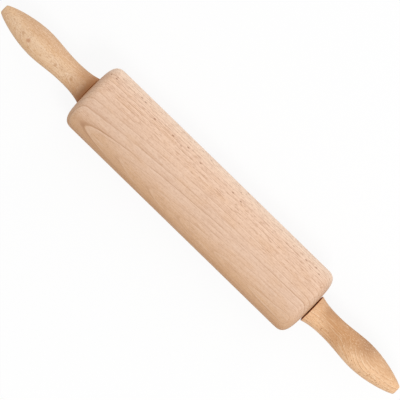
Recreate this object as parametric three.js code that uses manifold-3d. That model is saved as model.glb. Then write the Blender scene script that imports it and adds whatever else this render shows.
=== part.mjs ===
// A beech rolling pin. The roller turns on two ball bearings round a steel axle, the axle's ends are glued
// into two turned handles, and the roller can slide a little way between the handles.
// Millimetres. +X runs along the axle, +Z is up, and the roller lies on the plane z = 0.
import * as THREE from 'three';
import { mergeVertices } from 'three/addons/utils/BufferGeometryUtils.js';
import Module from 'manifold-3d';

// Roller. Each end is flat in the middle and falls away to the side along a rounded-square curve.
const ROLLER_LENGTH = 250;
const ROLLER_DIAMETER = 63;
const END_FACE_DIAMETER = 27.4;
const END_ROUND_LENGTH = 11.3;
const END_ROUND_POWER = 3;
const AXLE_BORE_DIAMETER = 14;

// Handle, measured from the face that meets the roller.
const HANDLE_LENGTH = 95.5;
const ROOT_DIAMETER = 26.6;
const NECK_PLACE = 22;
const NECK_DIAMETER = 21.3;
const BELLY_PLACE = 55;
const BELLY_DIAMETER = 25.8;
const TIP_DIAMETER = 8.4;
const EDGE_BREAK = 0.5;
const SOCKET_DEPTH = 55;

// How steeply the handle narrows at its root and at its tip, in radius per length.
const ROOT_SLOPE = 0.32;
const TIP_SLOPE = 0.57;

// How far each end of a handle curve pulls along its stretch, as a share of that stretch.
const ROOT_PULL = 0.24;
const NECK_PULL_TO_ROOT = 0.52;
const NECK_PULL_TO_BELLY = 0.38;
const BELLY_PULL_TO_NECK = 0.33;
const BELLY_PULL_TO_TIP = 0.4;
const TIP_PULL = 0.15;

// Axle, with rings cut into both ends that hold the glue.
const AXLE_DIAMETER = 8;
const AXLE_CHAMFER = 1;
const GLUE_GROOVE_COUNT = 3;
const GLUE_GROOVE_SPACING = 12;
const GLUE_GROOVE_WIDTH = 2;
const GLUE_GROOVE_DEPTH = 0.5;

// Ball bearing, built outwards from the axle and sideways from the balls.
const BALL_DIAMETER = 3.969;
const BALL_COUNT = 7;
const INNER_RING_WALL = 1.265;
const OUTER_RING_WALL = 1.365;
const RACE_DEPTH = 0.635;
const RING_CHAMFER = 0.3;
const CAGE_WALL = 1.8;
const CAGE_BASE = 0.72;
const CAGE_LIP = 1.2;
const SHIELD_THICKNESS = 0.3;
const SHIELD_LEDGE = 0.6;
const SHIELD_SINK = 0.1;
const BEARING_SINK = 0.5;

// Clearances.
const AXIAL_PLAY = 0.9;
const END_GAP = 0.2;
const FIT_GAP = 0.1;
const BALL_GAP = 0.15;
const SHIELD_GAP = 0.25;

// Fineness of the facets. The roller's count is a multiple of four, so that it lies on a flat.
const ROLLER_SIDES = 48;
const HANDLE_SIDES = 36;
const AXLE_SIDES = 20;
const RING_SIDES = 28;
const BALL_SIDES = 10;
const BALL_BANDS = 6;
const POCKET_SIDES = 10;
const POCKET_BANDS = 8;
const END_ROUND_STEPS = 8;
const CURVE_STEPS = 6;
const RACE_STEPS = 3;

const rollerRadius = ROLLER_DIAMETER / 2;
const axleRadius = AXLE_DIAMETER / 2;
const socketRadius = axleRadius + FIT_GAP;
const ballRadius = BALL_DIAMETER / 2;
const raceRadius = ballRadius + BALL_GAP;

// Radii of the bearing, from its bore to its outside.
const ringBore = axleRadius + FIT_GAP;
const innerRaceFloor = ringBore + INNER_RING_WALL;
const ballPitchRadius = innerRaceFloor + raceRadius;
const outerRaceFloor = ballPitchRadius + raceRadius;
const ringOutside = outerRaceFloor + OUTER_RING_WALL;
const innerLand = innerRaceFloor + RACE_DEPTH;
const outerLand = outerRaceFloor - RACE_DEPTH;
const shieldSeat = outerLand + SHIELD_LEDGE;

// Half widths of the bearing, from the balls to its side faces.
const cageBack = raceRadius + CAGE_BASE;
const shieldInside = cageBack + SHIELD_GAP;
const shieldOutside = shieldInside + SHIELD_THICKNESS;
const bearingHalf = shieldOutside + SHIELD_SINK;
const bearingPlace = ROLLER_LENGTH / 2 - BEARING_SINK - bearingHalf;

// Faces along the axle.
const handleFace = (ROLLER_LENGTH + AXIAL_PLAY) / 2 + END_GAP;
const axleHalf = handleFace + SOCKET_DEPTH - END_GAP;

const wasm = await Module();
wasm.setup();

const rollerBeech = () => new THREE.MeshStandardMaterial({ color: 0xe3c0a4, roughness: 0.55, metalness: 0 });
const handleBeech = () => new THREE.MeshStandardMaterial({ color: 0xdfb892, roughness: 0.5, metalness: 0 });
const axleSteel = () => new THREE.MeshStandardMaterial({ color: 0xb9bcc0, roughness: 0.35, metalness: 1 });
const bearingSteel = () => new THREE.MeshStandardMaterial({ color: 0xc9ccd0, roughness: 0.2, metalness: 1 });
const cageNylon = () => new THREE.MeshStandardMaterial({ color: 0xe8e2d2, roughness: 0.6, metalness: 0 });

// A solid turned round the X axis from an outline of radius against place. The flats of its facets touch
// the true round, and one flat faces straight down.
function turned(outline, sides, curveSteps = CURVE_STEPS) {
  const flatToCorner = 1 / Math.cos(Math.PI / sides);
  const points = outline.getPoints(curveSteps).map((p) => new THREE.Vector2(p.x * flatToCorner, p.y));
  const geometry = new THREE.LatheGeometry(points, sides, Math.PI / sides);
  geometry.rotateZ(-Math.PI / 2);
  return geometry;
}

function toSolid(geometry) {
  const bare = geometry.clone();
  bare.deleteAttribute('normal');
  bare.deleteAttribute('uv');
  const merged = mergeVertices(bare);
  const vertProperties = new Float32Array(merged.attributes.position.array);
  const triVerts = new Uint32Array(merged.index.array);
  return new wasm.Manifold(new wasm.Mesh({ numProp: 3, vertProperties, triVerts }));
}

function toGeometry(solid) {
  const mesh = solid.getMesh();
  const geometry = new THREE.BufferGeometry();
  geometry.setAttribute('position', new THREE.BufferAttribute(mesh.vertProperties, 3));
  geometry.setIndex(new THREE.BufferAttribute(mesh.triVerts, 1));
  geometry.computeVertexNormals();
  return geometry;
}

function named(name, geometry, material) {
  const mesh = new THREE.Mesh(geometry, material);
  mesh.name = name;
  return mesh;
}

// Roller: the rounded ends, the bore that clears the axle and a seat for a bearing in each end.
function rollerGeometry() {
  const faceRadius = END_FACE_DIAMETER / 2;
  const fall = rollerRadius - faceRadius;
  const half = ROLLER_LENGTH / 2;
  const seatRadius = ringOutside + FIT_GAP;
  const seatFloor = bearingPlace - bearingHalf - FIT_GAP;
  const bore = AXLE_BORE_DIAMETER / 2;
  const roundedPower = 2 / END_ROUND_POWER;
  const endRound = (step) => {
    const angle = (step / END_ROUND_STEPS) * (Math.PI / 2);
    const outwards = Math.sin(angle) ** roundedPower;
    const alongwards = Math.max(Math.cos(angle), 0) ** roundedPower;
    return [faceRadius + fall * outwards, half - END_ROUND_LENGTH * (1 - alongwards)];
  };

  const outline = new THREE.Path();
  outline.moveTo(seatRadius, -half);
  for (let step = 0; step <= END_ROUND_STEPS; step += 1) {
    const [radius, place] = endRound(step);
    outline.lineTo(radius, -place);
  }
  for (let step = END_ROUND_STEPS; step >= 0; step -= 1) {
    const [radius, place] = endRound(step);
    outline.lineTo(radius, place);
  }
  outline.lineTo(seatRadius, half);
  outline.lineTo(seatRadius, seatFloor);
  outline.lineTo(bore, seatFloor);
  outline.lineTo(bore, -seatFloor);
  outline.lineTo(seatRadius, -seatFloor);
  outline.lineTo(seatRadius, -half);
  return turned(outline, ROLLER_SIDES);
}

// Handle: flared root, waisted neck, swelling belly and a taper to a small flat tip, with a blind socket.
function handleGeometry() {
  const root = ROOT_DIAMETER / 2;
  const neck = NECK_DIAMETER / 2;
  const belly = BELLY_DIAMETER / 2;
  const tip = TIP_DIAMETER / 2;
  const rootPlace = EDGE_BREAK;
  const tipPlace = HANDLE_LENGTH - EDGE_BREAK;
  const rootToNeck = NECK_PLACE - rootPlace;
  const neckToBelly = BELLY_PLACE - NECK_PLACE;
  const bellyToTip = tipPlace - BELLY_PLACE;
  const rootReach = ROOT_PULL * rootToNeck;
  const tipReach = TIP_PULL * bellyToTip;

  const outline = new THREE.Path();
  outline.moveTo(0, SOCKET_DEPTH);
  outline.lineTo(socketRadius, SOCKET_DEPTH);
  outline.lineTo(socketRadius, 0);
  outline.lineTo(root - EDGE_BREAK, 0);
  outline.lineTo(root, rootPlace);
  outline.bezierCurveTo(
    root - ROOT_SLOPE * rootReach, rootPlace + rootReach,
    neck, NECK_PLACE - NECK_PULL_TO_ROOT * rootToNeck,
    neck, NECK_PLACE,
  );
  outline.bezierCurveTo(
    neck, NECK_PLACE + NECK_PULL_TO_BELLY * neckToBelly,
    belly, BELLY_PLACE - BELLY_PULL_TO_NECK * neckToBelly,
    belly, BELLY_PLACE,
  );
  outline.bezierCurveTo(
    belly, BELLY_PLACE + BELLY_PULL_TO_TIP * bellyToTip,
    tip + TIP_SLOPE * tipReach, tipPlace - tipReach,
    tip, tipPlace,
  );
  outline.lineTo(tip - EDGE_BREAK, HANDLE_LENGTH);
  outline.lineTo(0, HANDLE_LENGTH);
  return turned(outline, HANDLE_SIDES);
}

// Axle: a plain rod with chamfered ends and glue grooves.
function axleGeometry() {
  const grooveFloor = axleRadius - GLUE_GROOVE_DEPTH;
  const grooveStarts = [];
  for (let i = 1; i <= GLUE_GROOVE_COUNT; i += 1) {
    const fromEnd = i * GLUE_GROOVE_SPACING;
    grooveStarts.push(fromEnd - axleHalf, axleHalf - fromEnd - GLUE_GROOVE_WIDTH);
  }
  grooveStarts.sort((a, b) => a - b);

  const outline = new THREE.Path();
  outline.moveTo(0, -axleHalf);
  outline.lineTo(axleRadius - AXLE_CHAMFER, -axleHalf);
  outline.lineTo(axleRadius, AXLE_CHAMFER - axleHalf);
  for (const start of grooveStarts) {
    outline.lineTo(axleRadius, start);
    outline.lineTo(grooveFloor, start);
    outline.lineTo(grooveFloor, start + GLUE_GROOVE_WIDTH);
    outline.lineTo(axleRadius, start + GLUE_GROOVE_WIDTH);
  }
  outline.lineTo(axleRadius, axleHalf - AXLE_CHAMFER);
  outline.lineTo(axleRadius - AXLE_CHAMFER, axleHalf);
  outline.lineTo(0, axleHalf);
  return turned(outline, AXLE_SIDES);
}

// Half the angle that a race takes round a ball, seen along the groove.
const raceAngle = Math.acos((raceRadius - RACE_DEPTH) / raceRadius);

function outerRingGeometry() {
  const ledge = shieldInside - FIT_GAP;
  const outline = new THREE.Path();
  outline.moveTo(shieldSeat, -bearingHalf);
  outline.lineTo(ringOutside - RING_CHAMFER, -bearingHalf);
  outline.lineTo(ringOutside, RING_CHAMFER - bearingHalf);
  outline.lineTo(ringOutside, bearingHalf - RING_CHAMFER);
  outline.lineTo(ringOutside - RING_CHAMFER, bearingHalf);
  outline.lineTo(shieldSeat, bearingHalf);
  outline.lineTo(shieldSeat, ledge);
  outline.lineTo(outerLand, ledge);
  outline.absarc(ballPitchRadius, 0, raceRadius, raceAngle, -raceAngle, true);
  outline.lineTo(outerLand, -ledge);
  outline.lineTo(shieldSeat, -ledge);
  outline.lineTo(shieldSeat, -bearingHalf);
  return turned(outline, RING_SIDES, RACE_STEPS);
}

function innerRingGeometry() {
  const outline = new THREE.Path();
  outline.moveTo(ringBore, RING_CHAMFER - bearingHalf);
  outline.lineTo(ringBore + RING_CHAMFER, -bearingHalf);
  outline.lineTo(innerLand, -bearingHalf);
  outline.absarc(ballPitchRadius, 0, raceRadius, Math.PI + raceAngle, Math.PI - raceAngle, true);
  outline.lineTo(innerLand, bearingHalf);
  outline.lineTo(ringBore + RING_CHAMFER, bearingHalf);
  outline.lineTo(ringBore, bearingHalf - RING_CHAMFER);
  outline.lineTo(ringBore, RING_CHAMFER - bearingHalf);
  return turned(outline, RING_SIDES, RACE_STEPS);
}

// Shield: a thin washer on the outer ring's ledge, clear of the inner ring.
function shieldGeometry() {
  const inside = innerLand + SHIELD_GAP;
  const outside = shieldSeat - FIT_GAP;
  const outline = new THREE.Path();
  outline.moveTo(inside, shieldInside);
  outline.lineTo(outside, shieldInside);
  outline.lineTo(outside, shieldOutside);
  outline.lineTo(inside, shieldOutside);
  outline.lineTo(inside, shieldInside);
  return turned(outline, RING_SIDES);
}

const ballPlaces = Array.from({ length: BALL_COUNT }, (_, i) => {
  const angle = (i / BALL_COUNT) * 2 * Math.PI;
  return new THREE.Vector3(0, ballPitchRadius * Math.cos(angle), ballPitchRadius * Math.sin(angle));
});

// Cage: a crown with a round pocket for each ball, open to one side where the ball snaps in.
function cageGeometry() {
  const inside = ballPitchRadius - CAGE_WALL / 2;
  const outside = ballPitchRadius + CAGE_WALL / 2;
  const outline = new THREE.Path();
  outline.moveTo(inside, -cageBack);
  outline.lineTo(outside, -cageBack);
  outline.lineTo(outside, CAGE_LIP);
  outline.lineTo(inside, CAGE_LIP);
  outline.lineTo(inside, -cageBack);
  let crown = toSolid(turned(outline, RING_SIDES));
  for (const place of ballPlaces) {
    const pocket = new THREE.SphereGeometry(raceRadius, POCKET_SIDES, POCKET_BANDS);
    pocket.translate(place.x, place.y, place.z);
    crown = crown.subtract(toSolid(pocket));
  }
  return toGeometry(crown);
}

// One ball bearing with its shielded outer face towards +X.
function bearing(side) {
  const group = new THREE.Group();
  group.add(named(`${side}_bearing_outer_ring`, outerRingGeometry(), bearingSteel()));
  group.add(named(`${side}_bearing_inner_ring`, innerRingGeometry(), bearingSteel()));
  group.add(named(`${side}_bearing_outer_shield`, shieldGeometry(), bearingSteel()));
  const innerShield = named(`${side}_bearing_inner_shield`, shieldGeometry(), bearingSteel());
  innerShield.rotation.z = Math.PI;
  group.add(innerShield);
  group.add(named(`${side}_bearing_cage`, cageGeometry(), cageNylon()));
  ballPlaces.forEach((place, i) => {
    const geometry = new THREE.SphereGeometry(ballRadius, BALL_SIDES, BALL_BANDS);
    const ball = named(`${side}_bearing_ball_${i + 1}`, geometry, bearingSteel());
    ball.position.copy(place);
    group.add(ball);
  });
  return group;
}

const pin = new THREE.Group();
pin.position.z = rollerRadius;
pin.add(named('axle_rod', axleGeometry(), axleSteel()));

// At rest the roller stands against the left handle, so all of its play is open at the right.
const rolling = new THREE.Group();
rolling.position.x = -AXIAL_PLAY / 2;
rolling.add(named('roller_barrel', rollerGeometry(), rollerBeech()));
pin.add(rolling);

const ends = [
  { side: 'left', direction: -1, turn: Math.PI },
  { side: 'right', direction: 1, turn: 0 },
];
for (const { side, direction, turn } of ends) {
  const handle = named(`${side}_handle`, handleGeometry(), handleBeech());
  handle.position.x = direction * handleFace;
  handle.rotation.z = turn;
  pin.add(handle);
  const ballBearing = bearing(side);
  ballBearing.position.x = direction * bearingPlace;
  ballBearing.rotation.z = turn;
  rolling.add(ballBearing);
}

const rollingPin = new THREE.Group();
rollingPin.add(pin);
export default rollingPin;
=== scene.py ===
"""A turned beech rolling pin in plain studio light. Metres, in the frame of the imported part: +X along the
axle towards the right handle, +Z up, and the roller lies on z = 0."""
import math
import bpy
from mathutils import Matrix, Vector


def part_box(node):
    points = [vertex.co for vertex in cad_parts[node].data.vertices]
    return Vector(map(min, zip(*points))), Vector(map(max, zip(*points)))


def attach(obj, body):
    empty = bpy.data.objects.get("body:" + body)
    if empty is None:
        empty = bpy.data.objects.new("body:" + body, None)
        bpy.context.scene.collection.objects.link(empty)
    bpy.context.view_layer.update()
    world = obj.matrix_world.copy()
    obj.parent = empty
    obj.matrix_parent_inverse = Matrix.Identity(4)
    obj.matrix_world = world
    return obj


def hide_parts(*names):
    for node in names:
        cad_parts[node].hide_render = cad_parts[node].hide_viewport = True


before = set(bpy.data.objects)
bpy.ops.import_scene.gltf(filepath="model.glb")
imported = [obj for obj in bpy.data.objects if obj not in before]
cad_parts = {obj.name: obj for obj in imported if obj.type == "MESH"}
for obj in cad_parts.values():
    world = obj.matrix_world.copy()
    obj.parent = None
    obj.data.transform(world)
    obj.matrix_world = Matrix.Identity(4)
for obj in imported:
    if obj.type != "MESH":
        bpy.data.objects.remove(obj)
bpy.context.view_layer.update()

from types import SimpleNamespace

import bpy
from mathutils import Matrix, Vector

MM = 0.001
SIDES = {"left": -1, "right": 1}


def rgb(red, green, blue):
    """A colour as seen on a screen, 0 to 255, as the linear colour that shaders take."""
    def linear(level):
        level /= 255
        return level / 12.92 if level <= 0.04045 else ((level + 0.055) / 1.055) ** 2.4
    return (linear(red), linear(green), linear(blue), 1.0)


def grey(level):
    return (level, level, level, 1.0)


def shaded(colour, share):
    """A share of a colour's light."""
    return tuple(share * part for part in colour[:3]) + (1.0,)


# Roller. Each end is flat in the middle and falls away to the side along a rounded-square curve.
roller_low, roller_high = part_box("roller_barrel")
AXIS_HEIGHT = (roller_low.z + roller_high.z) / 2
ROLLER_RADIUS = (roller_high.z - roller_low.z) / 2
ROLLER_MIDDLE = (roller_low.x + roller_high.x) / 2
ROLLER_HALF = (roller_high.x - roller_low.x) / 2
END_FACE_RADIUS = 13.7 * MM
END_ROUND_LENGTH = 11.3 * MM
END_ROUND_POWER = 3
SEAT_RADIUS = 11.1 * MM
SEAT_DEPTH = 7.61 * MM
SEAT_BREAK = 0.4 * MM
BORE_RADIUS = 7 * MM

# Axle, with rings cut into both ends that hold the glue; their places are measured from the end.
axle_low, axle_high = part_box("axle_rod")
AXLE_RADIUS = (axle_high.z - axle_low.z) / 2
AXLE_CHAMFER = 1 * MM
GLUE_GROOVES = (12 * MM, 24 * MM, 36 * MM)
GLUE_GROOVE_WIDTH = 2 * MM
GLUE_GROOVE_DEPTH = 0.5 * MM

# What is fitted round the axle: the handles' sockets and the bearings' inner rings.
FIT_GAP = 0.1 * MM
FITTED_BORE = AXLE_RADIUS + FIT_GAP

# Handle, measured from the face that meets the roller.
ROOT_RADIUS = 13.3 * MM
NECK_PLACE = 22 * MM
NECK_RADIUS = 10.65 * MM
BELLY_PLACE = 55 * MM
BELLY_RADIUS = 12.9 * MM
TIP_RADIUS = 4.2 * MM
EDGE_BREAK = 0.5 * MM
SOCKET_DEPTH = 55 * MM

# How steeply the handle narrows at its root and at its tip, in radius per length.
ROOT_SLOPE = 0.32
TIP_SLOPE = 0.57

# How far each end of a handle curve pulls along its stretch, as a share of that stretch.
ROOT_PULL = 0.24
NECK_PULL_TO_ROOT = 0.52
NECK_PULL_TO_BELLY = 0.38
BELLY_PULL_TO_NECK = 0.33
BELLY_PULL_TO_TIP = 0.4
TIP_PULL = 0.15

# Ball bearing. The balls say how far out they run, and the rings, shields and cage follow from them.
ball_low, ball_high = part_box("right_bearing_ball_1")
BALL_COUNT = 7
BALL_RADIUS = (ball_high.x - ball_low.x) / 2
BALL_PITCH = math.hypot((ball_low.y + ball_high.y) / 2, (ball_low.z + ball_high.z) / 2 - AXIS_HEIGHT)
BALL_GAP = 0.15 * MM
RACE_RADIUS = BALL_RADIUS + BALL_GAP
RACE_DEPTH = 0.635 * MM
INNER_LAND = BALL_PITCH - RACE_RADIUS + RACE_DEPTH
OUTER_LAND = BALL_PITCH + RACE_RADIUS - RACE_DEPTH
RING_CHAMFER = 0.3 * MM
SHIELD_LEDGE = 0.6 * MM
SHIELD_LEDGE_GAP = 0.1 * MM
SHIELD_SEAT = OUTER_LAND + SHIELD_LEDGE
SHIELD_GAP = 0.25 * MM
SHIELD_INSIDE = INNER_LAND + SHIELD_GAP
SHIELD_SHEET = 0.15 * MM
CAGE_WALL = 1.8 * MM
CAGE_CHAMFER = 0.15 * MM

# Fineness of the rounds.
ROLLER_TURNING_STEPS = 160
HANDLE_TURNING_STEPS = 96
AXLE_TURNING_STEPS = 48
RING_TURNING_STEPS = 72
END_ROUND_STEPS = 28
HANDLE_CURVE_STEPS = 22
RACE_STEPS = 12
BALL_CUTS = 11
SAME_POINT = 0.002 * MM
SMOOTH_ANGLE = math.radians(35)

# Colours of the three woods.
ROLLER_TONES = SimpleNamespace(
    pink=rgb(231, 195, 168),
    tan=rgb(222, 176, 133),
    # The next tone is painted shade for the roller's side away from the side lamp.
    edge=rgb(204, 152, 104),
    pale=rgb(243, 214, 191),
    # The next tone is a painted sheen, paler where the roller faces the side lamp.
    painted_sheen=rgb(252, 222, 197),
    late=rgb(186, 139, 104),
    pore=rgb(176, 128, 96),
    ray=rgb(146, 92, 60),
    # The next tone is partly darker end grain, partly painted shade for the gaps at the handles.
    end_grain_and_gap_shade=rgb(200, 142, 90),
)
LEFT_HANDLE_TONES = SimpleNamespace(
    face=rgb(241, 205, 168),
    flank=rgb(235, 193, 149),
    far_flank=rgb(205, 163, 125),
    pale=rgb(248, 220, 194),
    late=rgb(192, 142, 98),
    # The next tone is painted shade: the roller's shadow on the neck.
    neck=rgb(170, 113, 65),
    knot=rgb(184, 118, 72),
)
RIGHT_HANDLE_TONES = SimpleNamespace(
    face=rgb(176, 127, 86),
    flank=rgb(243, 197, 153),
    pale=rgb(251, 222, 187),
    late=rgb(190, 140, 94),
    speck=rgb(150, 98, 58),
    patch=rgb(196, 143, 95),
)

# Where those colours fade in on the roller: each pair says where a colour starts and where it is full.
ROLLER_FADES = SimpleNamespace(
    # Out from the pith.
    flecked_side=(100 * MM, 82 * MM),
    # Where the painted sheen lies: the side that faces the side lamp.
    painted_sheen=(79 * MM, 62 * MM),
    ray_side=(81 * MM, 76 * MM),
    # Across the trunk.
    tan_side=(18 * MM, -13 * MM),
    # The next fade is painted shade along the side away from the side lamp.
    painted_shade_edge=(-5 * MM, -16 * MM),
    # In from the roller's ends.
    tan_end=(12 * MM, 2 * MM),
    end_grain_and_gap_shade=(2 * MM, 0.2 * MM),
)

# The same for the left handle, whose top is paler than its flanks and whose neck is darkened with painted
# shade, the shadow of the roller's end.
LEFT_HANDLE_FADES = SimpleNamespace(
    # Across the trunk.
    flanks=(1 * MM, 8 * MM),
    far_flank=(3 * MM, 10 * MM),
    # Out from the root.
    tip=(78 * MM, 94 * MM),
    painted_neck_shade=(24 * MM, 8 * MM),
    painted_root_shade=(9 * MM, 0),
)
LEFT_TOP = 1 * MM
LEFT_FLANK_RAGGEDNESS = 12 * MM
NECK_SHADE_STRENGTH = 0.46
ROOT_SHADE_STRENGTH = 0.52

# The same for the right handle, whose lower side is paler than its upper one.
RIGHT_HANDLE_FADES = SimpleNamespace(
    # Out from the pith.
    flank=(73 * MM, 63 * MM),
    lower_side=(72 * MM, 66 * MM),
    specked_side=(65 * MM, 60 * MM),
    # Out from the root.
    tip=(52 * MM, 70 * MM),
    # Paler near the root: partly the wood's own tone, partly painted light.
    root=(14 * MM, 4 * MM),
)

# The stretch along X where the grain of the right handle runs out of the belly, and how far it rises there.
RIGHT_GRAIN_SWAY = SimpleNamespace(start=156 * MM, end=192 * MM, rise=13 * MM)

# The handles' faces that meet the roller are painted dark brown out to their edge: painted shade, so that
# the gap between handle and roller looks dark brown.
GAP_SHADE_BROWN = rgb(165, 84, 16)
GAP_SHADE_EDGE = (0.6 * MM, 0.3 * MM)

# A brown pin knot on the upper side of the left handle, and small curls in the grain on both sides of it.
PIN_KNOT = (-188.3 * MM, -4.75 * MM, AXIS_HEIGHT + 11.9 * MM)
PIN_KNOT_RADIUS = 2.6 * MM
CURLS = [
    (-195.8 * MM, -3.2 * MM, AXIS_HEIGHT + 11.4 * MM),
    (-159.2 * MM, -3.8 * MM, AXIS_HEIGHT + 10.6 * MM),
    (-142.1 * MM, -3.1 * MM, AXIS_HEIGHT + 10.4 * MM),
]
CURL_RADIUS = 2.2 * MM

# A brown patch above the neck of the right handle.
BROWN_PATCH = (157 * MM, 5 * MM, AXIS_HEIGHT + 9 * MM)
BROWN_PATCH_RADIUS = 26 * MM

# Such spots are soft from their edge in to this share of their radius.
SPOT_CORE = 0.25

# Yearly rings: how they wave, where they show clearly, and how fast they crowd together towards the bark.
RING_WAVE_LENGTH = 60 * MM
RING_WAVE_THICKNESS = 22 * MM
CLEAR_PATCH_LENGTH = 34 * MM
CLEAR_PATCH_THICKNESS = 7 * MM
CROWDING_POWER = 2.45
CROWDED_FROM = 0.75
CROWDED_FADING = 0.45

# The roller's rings are fainter in its middle, and clear up between these two distances from its ends.
MIDDLE_CLEARNESS = 0.72
CLEAR_END = (60 * MM, 15 * MM)

# A year's growth, from 0 to 1: each pair says where a kind of wood starts or stops and where it has done so.
LATE_WOOD_COMES = (0.35, 0.95)
LATE_WOOD_DEEPENS = (0.82, 0.95)
LATE_WOOD_STOPS = (1.0, 0.97)
LATE_WOOD_SLOW_SHARE = 0.3
EARLY_WOOD_STARTS = (0.0, 0.02)
EARLY_WOOD_STOPS = (0.2, 0.06)

# Fibres, specks and rays in the wood.
FIBRE_THICKNESS = 0.8 * MM
SPECK_LENGTH = 1.5 * MM
SPECK_THICKNESS = 0.9 * MM
RAY_CROWD_LENGTH = 30 * MM
RAY_CROWD_THICKNESS = 9 * MM
RAY_CHANCE_SOFTNESS = 0.1
RAY_EDGE = (0.34, 0.14)

# Levels of a noise: its middle, and where its darker and paler streaks or specks start and are full.
NOISE_MIDDLE = 0.5
PALE_LEVELS = (0.5, 0.25)
DARK_LEVELS = (0.5, 0.75)
HANDLE_DARK_LEVELS = (0.52, 0.75)

# Satin bare wood.
WOOD_ROUGHNESS = 0.5
WOOD_FIBRE_ROUGHNESS = 0.12
WOOD_SHINE = 0.35
FIBRE_HEIGHT = 0.5
FURROW_DEPTH = 0.6
RELIEF_STRENGTH = 0.2
RELIEF_DEPTH = 0.1 * MM

# Steel: its colours, its marks for each metre along X, Y and Z, and painted shade on the axle beside the
# roller, brown where it shows in the gaps at the handles.
AXLE_GREY = rgb(186, 188, 191)
RING_GREY = rgb(190, 193, 197)
BALL_GREY = rgb(205, 207, 210)
TURNING_MARKS = (9000, 120, 120)
POLISHING_MARKS = (900, 900, 900)
STEEL_MARK_LEVELS = (0.3, 0.7)
STEEL_MARK_SHADE = 0.85
STEEL_MARK_ROUGHNESS = 0.15
AXLE_GAP_SHADE = rgb(90, 40, 8)
AXLE_GAP_SHADE_REACH = (5 * MM, 2.5 * MM)

# Nylon of the cages, faintly clouded.
CAGE_CREAM = rgb(228, 221, 203)
CLOUDS_PER_METRE = (400, 400, 400)
CLOUD_STRENGTH = 0.3
CLOUD_SHADE = 0.8
NYLON_ROUGHNESS = 0.45
NYLON_CLOUD_ROUGHNESS = 0.2

# Picture: the pin runs from upper left to lower right, seen from straight above through a long lens.
PICTURE_TURN = math.radians(44.24)
PICTURE_WIDTH = 323.3 * MM
PICTURE_RIGHT = 0.16 * MM
PICTURE_UP = 0.3 * MM
CAMERA_DISTANCE = 2.4
SENSOR_WIDTH = 36

# Light. A level of 1 lights a white card that faces the lamp to plain white.
WHITE = grey(1.0)
SKY_LEVEL = 0.68
LAMP_DISTANCE = 1.3
LAMPS = {
    "key": {"direction": (0.42, -0.22, 0.88), "size": 0.4, "level": 0.335},
    "side": {"direction": (0.0, 0.995, 0.1), "size": 0.26, "level": 0.33},
}

# Floor: how much light it gives back to the object, and how white the camera sees it.
FLOOR_SIZE = 8
FLOOR_PAPER = 0.42
FLOOR_WHITE = 0.97
FLOOR_GLOW = 0.88


class Socket:
    """A shader value that takes part in arithmetic: each operator adds a Math node."""

    def __init__(self, finish, socket):
        self.finish = finish
        self.socket = socket

    def output(self, name):
        """Another output of the node that gives this value."""
        return Socket(self.finish, self.socket.node.outputs[name])

    def math(self, operation, *others):
        return self.finish.math(operation, self, *others)

    def __add__(self, other):
        return self.math("ADD", other)

    def __sub__(self, other):
        return self.math("SUBTRACT", other)

    def __rsub__(self, other):
        return self.finish.math("SUBTRACT", other, self)

    def __mul__(self, other):
        return self.math("MULTIPLY", other)

    def __truediv__(self, other):
        return self.math("DIVIDE", other)

    __radd__ = __add__
    __rmul__ = __mul__


class Finish:
    """The shader nodes of a material or of the world, and the ways to add to them."""

    def __init__(self, owner):
        owner.use_nodes = True
        self.owner = owner
        self.tree = owner.node_tree
        self.tree.nodes.clear()

    def node(self, kind, settings=None, values=None, output=0):
        """Adds a node with its settings and with values or links for its sockets, and gives one output."""
        node = self.tree.nodes.new(kind)
        for key, setting in (settings or {}).items():
            setattr(node, key, setting)
        for key, value in (values or {}).items():
            if isinstance(value, Socket):
                self.tree.links.new(value.socket, node.inputs[key])
            else:
                node.inputs[key].default_value = value
        return Socket(self, node.outputs[output]) if node.outputs else None

    def math(self, operation, *values):
        return self.node("ShaderNodeMath", {"operation": operation}, dict(enumerate(values)))

    def place(self):
        return self.node("ShaderNodeTexCoord", output="Object")

    def band(self, value, low, high):
        """0 below low, 1 above high and smooth between; low may be the larger one."""
        limits = {"Value": value, "From Min": low, "From Max": high}
        return self.node("ShaderNodeMapRange", {"interpolation_type": "SMOOTHSTEP"}, limits)

    def mix(self, factor, first, second):
        return self.node("ShaderNodeMix", {"data_type": "RGBA"}, {0: factor, 6: first, 7: second}, output=2)

    def stretch(self, vector, scales):
        return self.node("ShaderNodeVectorMath", {"operation": "MULTIPLY"}, {0: vector, 1: scales})

    def noise(self, vector, detail=2.0, roughness=0.5):
        values = {"Vector": vector, "Scale": 1.0, "Detail": detail, "Roughness": roughness}
        return self.node("ShaderNodeTexNoise", None, values)

    def split(self, vector):
        first = self.node("ShaderNodeSeparateXYZ", None, {0: vector})
        return [first.output(axis) for axis in "XYZ"]

    def surface(self, values):
        shader = self.node("ShaderNodeBsdfPrincipled", None, values)
        self.node("ShaderNodeOutputMaterial", None, {"Surface": shader})


def raised(mask, least):
    """A mask that runs from a least value to 1."""
    return least + (1 - least) * mask


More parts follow.
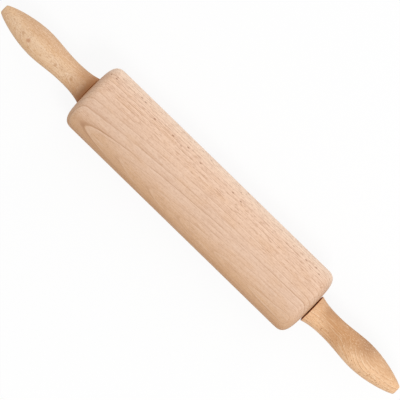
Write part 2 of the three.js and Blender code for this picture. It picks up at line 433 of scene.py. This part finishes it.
class Beech(Finish):
    """Solid beech, in the coordinates of its tree: along the trunk, which is along the pin, across it and
    out from the pith. The tree is turned about the pin's axis, and its grain leans and bends outwards."""

    def __init__(self, name, colour, turn, lean, pith_distance, bend=0.0, sway=None):
        super().__init__(bpy.data.materials.new(name))
        self.colour = colour
        self.point = self.place()
        turning = Matrix.Rotation(turn, 3, "X")
        pith = Vector((0, 0, AXIS_HEIGHT)) - turning @ Vector((0, 0, pith_distance))
        placing = {"Vector": self.point, "Location": pith, "Rotation": turning.to_euler()}
        straight = self.node("ShaderNodeMapping", {"vector_type": "TEXTURE"}, placing)
        self.along, self.across, self.height = self.split(straight)
        self.out = self.height + self.along * (lean + bend * self.along)
        if sway is not None:
            self.out = self.out + self.band(self.along, sway.start, sway.end) * sway.rise
        self.trunk = self.node("ShaderNodeCombineXYZ", None, {0: self.along, 1: self.across, 2: self.out})
        self.radius = (self.across * self.across + self.out * self.out).math("SQRT")

    def grain(self, length, thickness, detail=2.0, roughness=0.5):
        """Noise that is drawn out along the trunk, to a given length and thickness."""
        scales = (1 / length, 1 / thickness, 1 / thickness)
        return self.noise(self.stretch(self.trunk, scales), detail, roughness)

    def fibres(self, length):
        return self.grain(length, FIBRE_THICKNESS, detail=3, roughness=0.65)

    def streaks(self, length, thickness, start, full, detail=2.0):
        """Streaks along the trunk, where the grain's noise is above start, and strongest above full."""
        return self.band(self.grain(length, thickness, detail), start, full)

    def count_years(self, ring_width, waver, bark_side=None, crowding=0.0):
        """Works out the season in which the wood grew, from 0 to 1, and how clearly each year shows.
        Beyond the radius bark_side they crowd together and fade: crowding is the extra years 1 mm on."""
        wave = self.grain(RING_WAVE_LENGTH, RING_WAVE_THICKNESS) - NOISE_MIDDLE
        radius = self.radius + wave * waver
        years = radius / ring_width
        clear_patches = self.streaks(CLEAR_PATCH_LENGTH, CLEAR_PATCH_THICKNESS, start=0.32, full=0.66)
        self.clearness = raised(clear_patches, least=0.3)
        if bark_side is not None:
            late_growth = (radius - bark_side).math("MAXIMUM", 0.0)
            extra_years = (late_growth / MM).math("POWER", CROWDING_POWER) * crowding
            years = years + extra_years - bark_side / ring_width
            crowded = self.band(late_growth, CROWDED_FROM * ring_width, ring_width)
            self.clearness = self.clearness * (1 - CROWDED_FADING * crowded)
        whole_years = {"W": years.math("FLOOR")}
        year_strength = self.node("ShaderNodeTexWhiteNoise", {"noise_dimensions": "1D"}, whole_years)
        self.clearness = self.clearness * raised(year_strength, least=0.5)
        self.season = years.math("FRACT")

    def late_wood(self):
        """The darker wood that ends each year: it comes on slowly and stops sharply."""
        slow = self.band(self.season, *LATE_WOOD_COMES)
        quick = self.band(self.season, *LATE_WOOD_DEEPENS)
        coming = LATE_WOOD_SLOW_SHARE * slow + (1 - LATE_WOOD_SLOW_SHARE) * quick
        return coming * self.band(self.season, *LATE_WOOD_STOPS) * self.clearness

    def early_wood(self):
        """The thin pale line that starts the next year."""
        started = self.band(self.season, *EARLY_WOOD_STARTS)
        return started * self.band(self.season, *EARLY_WOOD_STOPS) * self.clearness

    def rays(self, length, thickness, depth, share):
        """Short dark spindles, rays that run out from the pith, in a share of the places they could take."""
        bearing = self.across.math("ARCTAN2", self.out) * self.radius
        counts = {0: self.along / length, 1: bearing / thickness, 2: self.radius / depth}
        cells = self.node("ShaderNodeCombineXYZ", None, counts)
        spindles = self.node("ShaderNodeTexVoronoi", {"feature": "F1"}, {"Vector": cells, "Scale": 1.0})
        chance = self.node("ShaderNodeSeparateColor", None, {0: spindles.output("Color")})
        crowd = self.grain(RAY_CROWD_LENGTH, RAY_CROWD_THICKNESS, detail=1) - NOISE_MIDDLE
        taken = self.band(chance + crowd, 1 - share, 1 - share + RAY_CHANCE_SOFTNESS)
        return self.band(spindles, *RAY_EDGE) * taken

    def stain(self, tone, where, strength=1.0):
        """Lays a tone over the wood's colour so far, where a mask says."""
        self.colour = self.mix(where * strength, self.colour, tone)

    def mottle(self, dark, pale, strength):
        """Fine specks, darker and paler, each little longer than it is wide."""
        specks = self.grain(SPECK_LENGTH, SPECK_THICKNESS, detail=1)
        self.stain(dark, self.band(specks, *DARK_LEVELS), strength)
        self.stain(pale, self.band(specks, *PALE_LEVELS), strength)

    def spot(self, tone, centre, radius, strength):
        ends = {0: self.point, 1: centre}
        distance = self.node("ShaderNodeVectorMath", {"operation": "DISTANCE"}, ends, output="Value")
        self.stain(tone, self.band(distance, radius, SPOT_CORE * radius), strength)

    def sanded(self, fibre, furrows):
        """Finishes the wood: the fibres roughen it, and the open furrows of pores and rays sink a little."""
        height = fibre * FIBRE_HEIGHT - furrows * FURROW_DEPTH
        relief = {"Strength": RELIEF_STRENGTH, "Distance": RELIEF_DEPTH, "Height": height}
        self.surface({
            "Base Color": self.colour,
            "Roughness": WOOD_ROUGHNESS + WOOD_FIBRE_ROUGHNESS * fibre,
            "Normal": self.node("ShaderNodeBump", None, relief),
            "Specular IOR Level": WOOD_SHINE,
        })
        return self.owner


def roller_beech():
    """Pinkish steamed beech, tan on the side under the arches of its grain and flecked above them. It is
    lifted paler with a painted sheen on the side that faces the side lamp, and darkened with painted shade
    on the side away from it.
    """
    tones = ROLLER_TONES
    fades = ROLLER_FADES
    wood = Beech("roller_beech", tones.pink, turn=math.radians(44), lean=0.0262, bend=-0.0812,
                 pith_distance=75 * MM)
    wood.count_years(ring_width=3.5 * MM, waver=0.7 * MM, bark_side=100.15 * MM, crowding=0.0237)
    flecked_side = wood.band(wood.height, *fades.flecked_side)
    painted_sheen = wood.band(wood.height, *fades.painted_sheen)
    from_end = ROLLER_HALF - (wood.along - ROLLER_MIDDLE).math("ABSOLUTE")
    fibre = wood.fibres(length=36 * MM)
    pores = wood.streaks(length=5 * MM, thickness=0.65 * MM, start=0.52, full=0.68, detail=1)
    pores = pores * raised(flecked_side, least=0.4)
    rays = wood.rays(length=5 * MM, thickness=1.1 * MM, depth=2.4 * MM, share=0.18)
    rays = rays * wood.band(wood.height, *fades.ray_side)
    tan_streaks = wood.streaks(length=20 * MM, thickness=8 * MM, start=0.45, full=0.7)
    wood.stain(tones.tan, tan_streaks, strength=0.25)
    wood.stain(tones.tan, wood.band(wood.across, *fades.tan_side))
    # Painted shade: the side away from the side lamp is darkened brown.
    wood.stain(tones.edge, wood.band(wood.across, *fades.painted_shade_edge), strength=0.85)
    wood.stain(tones.tan, wood.band(from_end, *fades.tan_end), strength=0.15)
    # Painted sheen: the side that faces the side lamp is paler, and its rings are fainter.
    wood.stain(tones.painted_sheen, painted_sheen)
    wood.stain(tones.pale, wood.band(fibre, *PALE_LEVELS), strength=0.45)
    wood.stain(tones.late, wood.band(fibre, *DARK_LEVELS), strength=0.45)
    wood.mottle(tones.late, tones.pale, strength=0.22)
    clear_end = raised(wood.band(from_end, *CLEAR_END), least=MIDDLE_CLEARNESS)
    wood.stain(tones.late, wood.late_wood() * clear_end * raised(1 - painted_sheen, least=0.5), strength=1.15)
    wood.stain(tones.pale, wood.early_wood() * clear_end, strength=0.5)
    wood.stain(tones.pore, pores, strength=0.5)
    wood.stain(tones.ray, rays, strength=0.85)
    # The last 2 mm and the end faces: partly darker end grain, partly painted shade so that the gaps at the
    # handles look dark brown.
    wood.stain(tones.end_grain_and_gap_shade, wood.band(from_end, *fades.end_grain_and_gap_shade), strength=0.7)
    return wood.sanded(fibre, pores + rays)


def left_handle_beech(root_face):
    """Yellowish beech cut along the grain, mottled on top, with a pin knot and a neck darkened by painted
    shade, the shadow of the roller's end.
    """
    tones = LEFT_HANDLE_TONES
    fades = LEFT_HANDLE_FADES
    wood = Beech("left_handle_beech", tones.face, turn=math.radians(17), lean=0.05, pith_distance=60 * MM)
    wood.count_years(ring_width=1.4 * MM, waver=3 * MM)
    from_root = (wood.along - root_face).math("ABSOLUTE")
    ragged = (wood.grain(length=12 * MM, thickness=4 * MM) - NOISE_MIDDLE) * LEFT_FLANK_RAGGEDNESS
    from_top = (wood.across - LEFT_TOP).math("ABSOLUTE") + ragged
    fibre = wood.fibres(length=24 * MM)
    pores = wood.streaks(length=2 * MM, thickness=0.8 * MM, start=0.53, full=0.68, detail=1)
    wood.stain(tones.flank, wood.band(from_top, *fades.flanks))
    wood.stain(tones.far_flank, wood.band(wood.across, *fades.far_flank), strength=0.68)
    wood.stain(tones.flank, wood.band(from_root, *fades.tip), strength=0.7)
    wood.stain(tones.pale, wood.band(fibre, *PALE_LEVELS), strength=0.5)
    wood.stain(tones.late, wood.band(fibre, *HANDLE_DARK_LEVELS), strength=0.35)
    wood.mottle(tones.late, tones.pale, strength=0.3)
    wood.stain(tones.late, wood.late_wood(), strength=0.6)
    wood.stain(tones.pale, wood.early_wood(), strength=0.5)
    wood.stain(tones.late, pores, strength=0.45)
    for curl in CURLS:
        wood.spot(tones.late, curl, CURL_RADIUS, strength=0.6)
    wood.spot(tones.knot, PIN_KNOT, PIN_KNOT_RADIUS, strength=0.65)
    # Painted shade: the neck and root are browned where the roller's end would shade them.
    painted_neck_shade = NECK_SHADE_STRENGTH * wood.band(from_root, *fades.painted_neck_shade)
    painted_root_shade = ROOT_SHADE_STRENGTH * wood.band(from_root, *fades.painted_root_shade)
    wood.stain(tones.neck, painted_neck_shade + painted_root_shade)
    # Painted shade on the face that lies in the gap at the roller.
    wood.stain(GAP_SHADE_BROWN, wood.band(from_root, *GAP_SHADE_EDGE))
    return wood.sanded(fibre, pores)


def right_handle_beech(root_face):
    """Orange beech whose grain runs out of the belly, so that pale streaks sweep round it, with dark specks
    below and a brown patch above the neck."""
    tones = RIGHT_HANDLE_TONES
    fades = RIGHT_HANDLE_FADES
    wood = Beech("right_handle_beech", tones.face, turn=math.radians(-55), lean=0.02, pith_distance=60 * MM,
                 sway=RIGHT_GRAIN_SWAY)
    wood.count_years(ring_width=3 * MM, waver=1.2 * MM)
    from_root = (wood.along - root_face).math("ABSOLUTE")
    lower_side = wood.band(wood.height, *fades.lower_side)
    fibre = wood.fibres(length=32 * MM)
    pores = wood.streaks(length=2.5 * MM, thickness=0.8 * MM, start=0.53, full=0.68, detail=1)
    pores = pores * raised(lower_side, least=0.3)
    specks = wood.rays(length=2.2 * MM, thickness=1.2 * MM, depth=1.6 * MM, share=0.6)
    specks = specks * wood.band(wood.height, *fades.specked_side)
    sweeps = wood.streaks(length=10 * MM, thickness=3 * MM, start=0.4, full=0.55) * lower_side
    wood.stain(tones.flank, wood.band(wood.height, *fades.flank))
    wood.stain(tones.flank, wood.band(from_root, *fades.tip), strength=0.5)
    # Paler near the root: partly the wood's own tone, partly painted light standing in for light thrown back
    # by the roller's end.
    wood.stain(tones.flank, wood.band(from_root, *fades.root), strength=0.6)
    wood.spot(tones.patch, BROWN_PATCH, BROWN_PATCH_RADIUS, strength=0.9)
    wood.stain(tones.pale, wood.band(fibre, *PALE_LEVELS), strength=0.65)
    wood.stain(tones.late, wood.band(fibre, *HANDLE_DARK_LEVELS), strength=0.4)
    wood.mottle(tones.late, tones.pale, strength=0.15)
    wood.stain(tones.late, wood.late_wood() * raised(sweeps, least=0.4))
    wood.stain(tones.pale, wood.early_wood() * sweeps)
    wood.stain(tones.late, pores, strength=0.45)
    wood.stain(tones.speck, specks, strength=0.8)
    # Painted shade on the face that lies in the gap at the roller.
    wood.stain(GAP_SHADE_BROWN, wood.band(from_root, *GAP_SHADE_EDGE))
    return wood.sanded(fibre, pores + specks)


def steel(name, colour, roughness, marks_per_metre, gap_shade_at=None):
    """Steel with faint marks; many more of them along the axle than across it are marks of turning.
    At the distance given last, measured from the pin's middle to both sides, it is brown and not metallic:
    painted shade for the gaps between roller and handles."""
    finish = Finish(bpy.data.materials.new(name))
    place = finish.place()
    marks = finish.noise(finish.stretch(place, marks_per_metre))
    tint = finish.mix(finish.band(marks, *STEEL_MARK_LEVELS), colour, shaded(colour, STEEL_MARK_SHADE))
    metal = 1.0
    # Painted shade: brown, not metallic, where the axle shows in the gaps at the roller's ends.
    if gap_shade_at is not None:
        from_middle = finish.split(place)[0].math("ABSOLUTE")
        stain = finish.band((from_middle - gap_shade_at).math("ABSOLUTE"), *AXLE_GAP_SHADE_REACH)
        tint = finish.mix(stain, tint, AXLE_GAP_SHADE)
        metal = 1 - stain
    finish.surface({
        "Base Color": tint,
        "Roughness": roughness + STEEL_MARK_ROUGHNESS * marks,
        "Metallic": metal,
    })
    return finish.owner


def nylon(name, colour):
    finish = Finish(bpy.data.materials.new(name))
    cloud = finish.noise(finish.stretch(finish.place(), CLOUDS_PER_METRE))
    finish.surface({
        "Base Color": finish.mix(cloud * CLOUD_STRENGTH, colour, shaded(colour, CLOUD_SHADE)),
        "Roughness": NYLON_ROUGHNESS + NYLON_CLOUD_ROUGHNESS * cloud,
    })
    return finish.owner


def turned_piece(name, outline, steps):
    """Draws half a section through the axis, point by point, and spins it round the axis.
    The outline is a list of places along the axis and radii, and closes on itself or ends on the axis."""
    bpy.ops.object.select_all(action="DESELECT")
    bpy.ops.mesh.primitive_plane_add(size=MM)
    piece = bpy.context.object
    piece.name = name
    piece.data.name = name
    bpy.ops.object.mode_set(mode="EDIT")
    bpy.ops.mesh.select_all(action="SELECT")
    bpy.ops.mesh.merge(type="CENTER")
    start_place, start_radius = outline[0]
    bpy.ops.transform.translate(value=(start_place, 0, AXIS_HEIGHT + start_radius))
    for (place, radius), (next_place, next_radius) in zip(outline, outline[1:]):
        step = (next_place - place, 0, next_radius - radius)
        bpy.ops.mesh.extrude_vertices_move(TRANSFORM_OT_translate={"value": step})
    bpy.ops.mesh.select_all(action="SELECT")
    bpy.ops.mesh.spin(steps=steps, angle=math.tau, center=(0, 0, AXIS_HEIGHT), axis=(1, 0, 0))
    bpy.ops.mesh.select_all(action="SELECT")
    bpy.ops.mesh.remove_doubles(threshold=SAME_POINT)
    bpy.ops.mesh.normals_make_consistent(inside=False)
    bpy.ops.object.mode_set(mode="OBJECT")
    bpy.ops.object.shade_smooth_by_angle(angle=SMOOTH_ANGLE)
    return piece


def make_sphere(name, radius):
    """A sphere at the origin, from a cube with its faces divided and pushed out to one distance."""
    bpy.ops.object.select_all(action="DESELECT")
    bpy.ops.mesh.primitive_cube_add(size=radius)
    sphere = bpy.context.object
    sphere.name = name
    bpy.ops.object.mode_set(mode="EDIT")
    bpy.ops.mesh.select_all(action="SELECT")
    bpy.ops.mesh.subdivide(number_cuts=BALL_CUTS)
    bpy.ops.transform.tosphere(value=1)
    bpy.ops.object.mode_set(mode="OBJECT")
    growth = radius / sphere.data.vertices[0].co.length
    bpy.ops.object.mode_set(mode="EDIT")
    bpy.ops.transform.resize(value=(growth, growth, growth))
    bpy.ops.object.mode_set(mode="OBJECT")
    bpy.ops.object.shade_smooth()
    return sphere


def copied(pattern, name, place):
    """A copy with a mesh of its own; its points move to the place, and its origin stays."""
    bpy.ops.object.select_all(action="DESELECT")
    pattern.select_set(True)
    bpy.context.view_layer.objects.active = pattern
    bpy.ops.object.duplicate()
    copy = bpy.context.object
    copy.name = name
    copy.data.name = name
    bpy.ops.object.mode_set(mode="EDIT")
    bpy.ops.mesh.select_all(action="SELECT")
    bpy.ops.transform.translate(value=place)
    bpy.ops.object.mode_set(mode="OBJECT")
    return copy


def finished(piece, material, body, node):
    piece.data.materials.clear()
    piece.data.materials.append(material)
    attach(piece, body)
    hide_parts(node)


def end_round(share):
    """A point of the roller's rounded end, from the flat face at 0 to the side at 1: depth and radius."""
    angle = share * math.pi / 2
    power = 2 / END_ROUND_POWER
    inwards = max(math.cos(angle), 0.0) ** power
    outwards = math.sin(angle) ** power
    return END_ROUND_LENGTH * (1 - inwards), END_FACE_RADIUS + (ROLLER_RADIUS - END_FACE_RADIUS) * outwards


def roller_outline():
    rounds = [end_round(i / END_ROUND_STEPS) for i in range(END_ROUND_STEPS + 1)]
    seat = [(SEAT_DEPTH, BORE_RADIUS), (SEAT_DEPTH, SEAT_RADIUS), (SEAT_BREAK, SEAT_RADIUS)]
    mouth = [(0, SEAT_RADIUS + SEAT_BREAK)]
    end = seat + mouth + rounds
    left = [(ROLLER_MIDDLE - ROLLER_HALF + depth, radius) for depth, radius in end]
    right = [(ROLLER_MIDDLE + ROLLER_HALF - depth, radius) for depth, radius in reversed(end)]
    return left + right + left[:1]


def make_roller():
    piece = turned_piece("roller", roller_outline(), ROLLER_TURNING_STEPS)
    finished(piece, roller_beech(), "roller", "roller_barrel")


def bezier(start, start_pull, end_pull, end):
    """Points of a curve between two ends that each pull it their way, without its first end."""
    points = (start, start_pull, end_pull, end)
    result = []
    for i in range(1, HANDLE_CURVE_STEPS + 1):
        t = i / HANDLE_CURVE_STEPS
        weights = ((1 - t) ** 3, 3 * t * (1 - t) ** 2, 3 * t * t * (1 - t), t ** 3)
        result.append(tuple(sum(w * p[axis] for w, p in zip(weights, points)) for axis in (0, 1)))
    return result


def handle_outline(length):
    root = (EDGE_BREAK, ROOT_RADIUS)
    neck = (NECK_PLACE, NECK_RADIUS)
    belly = (BELLY_PLACE, BELLY_RADIUS)
    tip = (length - EDGE_BREAK, TIP_RADIUS)
    root_span = neck[0] - root[0]
    belly_span = belly[0] - neck[0]
    tip_span = tip[0] - belly[0]

    def pulled(point, distance, slope=0.0):
        return (point[0] + distance, point[1] - slope * distance)

    socket = [(SOCKET_DEPTH, 0), (SOCKET_DEPTH, FITTED_BORE), (0, FITTED_BORE)]
    face = [(0, ROOT_RADIUS - EDGE_BREAK), root]
    root_curve = bezier(root, pulled(root, ROOT_PULL * root_span, ROOT_SLOPE),
                        pulled(neck, -NECK_PULL_TO_ROOT * root_span), neck)
    belly_curve = bezier(neck, pulled(neck, NECK_PULL_TO_BELLY * belly_span),
                         pulled(belly, -BELLY_PULL_TO_NECK * belly_span), belly)
    tip_curve = bezier(belly, pulled(belly, BELLY_PULL_TO_TIP * tip_span),
                       pulled(tip, -TIP_PULL * tip_span, TIP_SLOPE), tip)
    flat = [(length, TIP_RADIUS - EDGE_BREAK), (length, 0)]
    return socket + face + root_curve + belly_curve + tip_curve + flat


def make_handle(side):
    direction = SIDES[side]
    node = f"{side}_handle"
    low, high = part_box(node)
    face = high.x if direction < 0 else low.x
    outline = [(face + direction * place, radius) for place, radius in handle_outline(high.x - low.x)]
    piece = turned_piece(f"{side}_grip", outline, HANDLE_TURNING_STEPS)
    beech = left_handle_beech if side == "left" else right_handle_beech
    finished(piece, beech(face), "spindle", node)


def axle_outline():
    end = [(0, 0), (0, AXLE_RADIUS - AXLE_CHAMFER), (AXLE_CHAMFER, AXLE_RADIUS)]
    floor = AXLE_RADIUS - GLUE_GROOVE_DEPTH
    for start in GLUE_GROOVES:
        stop = start + GLUE_GROOVE_WIDTH
        end += [(start, AXLE_RADIUS), (start, floor), (stop, floor), (stop, AXLE_RADIUS)]
    left = [(axle_low.x + depth, radius) for depth, radius in end]
    right = [(axle_high.x - depth, radius) for depth, radius in reversed(end)]
    return left + right


def make_axle(steel_finish):
    piece = turned_piece("axle", axle_outline(), AXLE_TURNING_STEPS)
    finished(piece, steel_finish, "spindle", "axle_rod")


def race(facing):
    """The groove for the balls, from left to right: facing is 1 in the outer ring, -1 in the inner one."""
    reach = math.acos((RACE_RADIUS - RACE_DEPTH) / RACE_RADIUS)
    angles = [reach * (2 * i / RACE_STEPS - 1) for i in range(RACE_STEPS + 1)]
    return [(RACE_RADIUS * math.sin(a), BALL_PITCH + facing * RACE_RADIUS * math.cos(a)) for a in angles]


def outer_ring_outline(half, ledge, outside):
    side = [
        (ledge, OUTER_LAND),
        (ledge, SHIELD_SEAT),
        (half, SHIELD_SEAT),
        (half, outside - RING_CHAMFER),
        (half - RING_CHAMFER, outside),
    ]
    left = [(-place, radius) for place, radius in reversed(side)]
    return left + race(1) + side + left[:1]


def inner_ring_outline(half):
    side = [(half, INNER_LAND), (half, FITTED_BORE + RING_CHAMFER), (half - RING_CHAMFER, FITTED_BORE)]
    left = [(-place, radius) for place, radius in reversed(side)]
    return left + race(-1) + side + left[:1]


def shield_outline(outer_face, inner_face, outside):
    """Pressed sheet: a rim near the ring's side face, and a step down to the part that covers the balls."""
    sheet = math.copysign(SHIELD_SHEET, outer_face - inner_face)
    step = (SHIELD_INSIDE + outside) / 2
    covering = [
        (inner_face + sheet, step),
        (inner_face + sheet, SHIELD_INSIDE),
        (inner_face, SHIELD_INSIDE),
        (inner_face, step),
    ]
    rim = [
        (outer_face - sheet, step + SHIELD_SHEET),
        (outer_face - sheet, outside),
        (outer_face, outside),
        (outer_face, step + SHIELD_SHEET),
    ]
    return covering + rim + covering[:1]


def make_rings(side, steel_finish):
    node = f"{side}_bearing"
    low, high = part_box(f"{node}_outer_ring")
    middle = (low.x + high.x) / 2
    half = (high.x - low.x) / 2
    outside = (high.z - low.z) / 2
    shields = {name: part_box(f"{node}_{name}") for name in ("outer_shield", "inner_shield")}
    ledge = min(abs(corner.x - middle) for box in shields.values() for corner in box) - SHIELD_LEDGE_GAP
    outline = [(middle + place, radius) for place, radius in outer_ring_outline(half, ledge, outside)]
    ring = turned_piece(f"{side}_outer_race", outline, RING_TURNING_STEPS)
    finished(ring, steel_finish, "roller", f"{node}_outer_ring")
    outline = [(middle + place, radius) for place, radius in inner_ring_outline(half)]
    ring = turned_piece(f"{side}_inner_race", outline, RING_TURNING_STEPS)
    finished(ring, steel_finish, "inner_rings", f"{node}_inner_ring")
    for name, (low, high) in shields.items():
        inner_face, outer_face = sorted((low.x, high.x), key=lambda place: abs(place - middle))
        outline = shield_outline(outer_face, inner_face, (high.z - low.z) / 2)
        shield = turned_piece(f"{side}_{name}_sheet", outline, RING_TURNING_STEPS)
        finished(shield, steel_finish, "roller", f"{node}_{name}")


def cage_outline(low, high):
    inside = BALL_PITCH - CAGE_WALL / 2
    outside = BALL_PITCH + CAGE_WALL / 2
    corners = [
        (low, inside + CAGE_CHAMFER),
        (low, outside - CAGE_CHAMFER),
        (low + CAGE_CHAMFER, outside),
        (high - CAGE_CHAMFER, outside),
        (high, outside - CAGE_CHAMFER),
        (high, inside + CAGE_CHAMFER),
        (high - CAGE_CHAMFER, inside),
        (low + CAGE_CHAMFER, inside),
    ]
    return corners + corners[:1]


def make_cage(side, nylon_finish, ball_places):
    """A ring with a pocket cut into it round each ball."""
    node = f"{side}_bearing_cage"
    low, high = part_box(node)
    cage = turned_piece(f"{side}_crown", cage_outline(low.x, high.x), RING_TURNING_STEPS)
    cutter = make_sphere("pocket", RACE_RADIUS)
    pockets = [copied(cutter, f"pocket_{i}", place) for i, place in enumerate(ball_places)]
    for pocket in pockets:
        cut = cage.modifiers.new(pocket.name, "BOOLEAN")
        cut.operation = "DIFFERENCE"
        cut.object = pocket
        bpy.context.view_layer.objects.active = cage
        bpy.ops.object.modifier_apply(modifier=cut.name)
    for spent in [cutter] + pockets:
        bpy.data.objects.remove(spent)
    bpy.ops.object.select_all(action="DESELECT")
    cage.select_set(True)
    bpy.ops.object.shade_smooth_by_angle(angle=SMOOTH_ANGLE)
    finished(cage, nylon_finish, f"{side}_cage", node)


def make_bearing(side, finishes):
    make_rings(side, finishes["ring"])
    nodes = [f"{side}_bearing_ball_{i + 1}" for i in range(BALL_COUNT)]
    places = [sum(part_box(node), Vector()) / 2 for node in nodes]
    make_cage(side, finishes["cage"], places)
    pattern = make_sphere("ball", BALL_RADIUS)
    for i, (node, place) in enumerate(zip(nodes, places)):
        ball = copied(pattern, f"{side}_ball_{i + 1}", place)
        finished(ball, finishes["ball"], f"{side}_cage", node)
    bpy.data.objects.remove(pattern)


def seen_directly(finish):
    """1 for rays from the camera, mirrors and glass, 0 for the light that falls on the object."""
    camera = finish.node("ShaderNodeLightPath", output="Is Camera Ray")
    mirror = camera.output("Is Glossy Ray")
    glass = camera.output("Is Transmission Ray")
    return camera.math("MAXIMUM", mirror).math("MAXIMUM", glass)


def make_floor():
    bpy.ops.object.select_all(action="DESELECT")
    bpy.ops.mesh.primitive_plane_add(size=FLOOR_SIZE)
    floor = bpy.context.object
    floor.name = "floor"
    finish = Finish(bpy.data.materials.new("floor_white"))
    seen = seen_directly(finish)
    paper_colour = finish.mix(seen, grey(FLOOR_PAPER), grey(FLOOR_WHITE))
    paper = finish.node("ShaderNodeBsdfDiffuse", None, {"Color": paper_colour})
    glow = finish.node("ShaderNodeEmission", None, {"Color": WHITE, "Strength": 1.0})
    mixed = finish.node("ShaderNodeMixShader", None, {0: seen * FLOOR_GLOW, 1: paper, 2: glow})
    finish.node("ShaderNodeOutputMaterial", None, {"Surface": mixed})
    floor.data.materials.append(finish.owner)


def make_sky():
    finish = Finish(bpy.data.worlds.new("studio"))
    strength = raised(seen_directly(finish), least=SKY_LEVEL)
    sky = finish.node("ShaderNodeBackground", None, {"Color": WHITE, "Strength": strength})
    finish.node("ShaderNodeOutputWorld", None, {"Surface": sky})
    bpy.context.scene.world = finish.owner


def make_lamp(name, direction, size, level):
    lamp = bpy.data.lights.new(name, "AREA")
    lamp.size = size
    lamp.energy = level * (math.pi * LAMP_DISTANCE) ** 2
    holder = bpy.data.objects.new(name, lamp)
    bpy.context.scene.collection.objects.link(holder)
    away = Vector(direction).normalized()
    holder.location = Vector((0, 0, AXIS_HEIGHT)) + LAMP_DISTANCE * away
    holder.rotation_euler = (-away).to_track_quat("-Z", "Y").to_euler()


def make_camera():
    lens = bpy.data.cameras.new("camera")
    lens.sensor_width = SENSOR_WIDTH
    lens.lens = SENSOR_WIDTH * CAMERA_DISTANCE / PICTURE_WIDTH
    camera = bpy.data.objects.new("camera", lens)
    bpy.context.scene.collection.objects.link(camera)
    camera.rotation_euler = (0, 0, PICTURE_TURN)
    shift = Matrix.Rotation(PICTURE_TURN, 3, "Z") @ Vector((PICTURE_RIGHT, PICTURE_UP, 0))
    camera.location = Vector((0, 0, AXIS_HEIGHT + CAMERA_DISTANCE)) - shift
    bpy.context.scene.camera = camera


bpy.context.scene.view_settings.view_transform = "Standard"
make_camera()
make_sky()
for lamp_name, lamp_settings in LAMPS.items():
    make_lamp(lamp_name, **lamp_settings)
make_floor()
make_roller()
for handle_side in SIDES:
    make_handle(handle_side)
make_axle(steel("axle_steel", AXLE_GREY, roughness=0.3, marks_per_metre=TURNING_MARKS, gap_shade_at=ROLLER_HALF))
bearing_finishes = {
    "ring": steel("bearing_steel", RING_GREY, roughness=0.15, marks_per_metre=TURNING_MARKS),
    "ball": steel("ball_steel", BALL_GREY, roughness=0.06, marks_per_metre=POLISHING_MARKS),
    "cage": nylon("cage_nylon", CAGE_CREAM),
}
for bearing_side in SIDES:
    make_bearing(bearing_side, bearing_finishes)
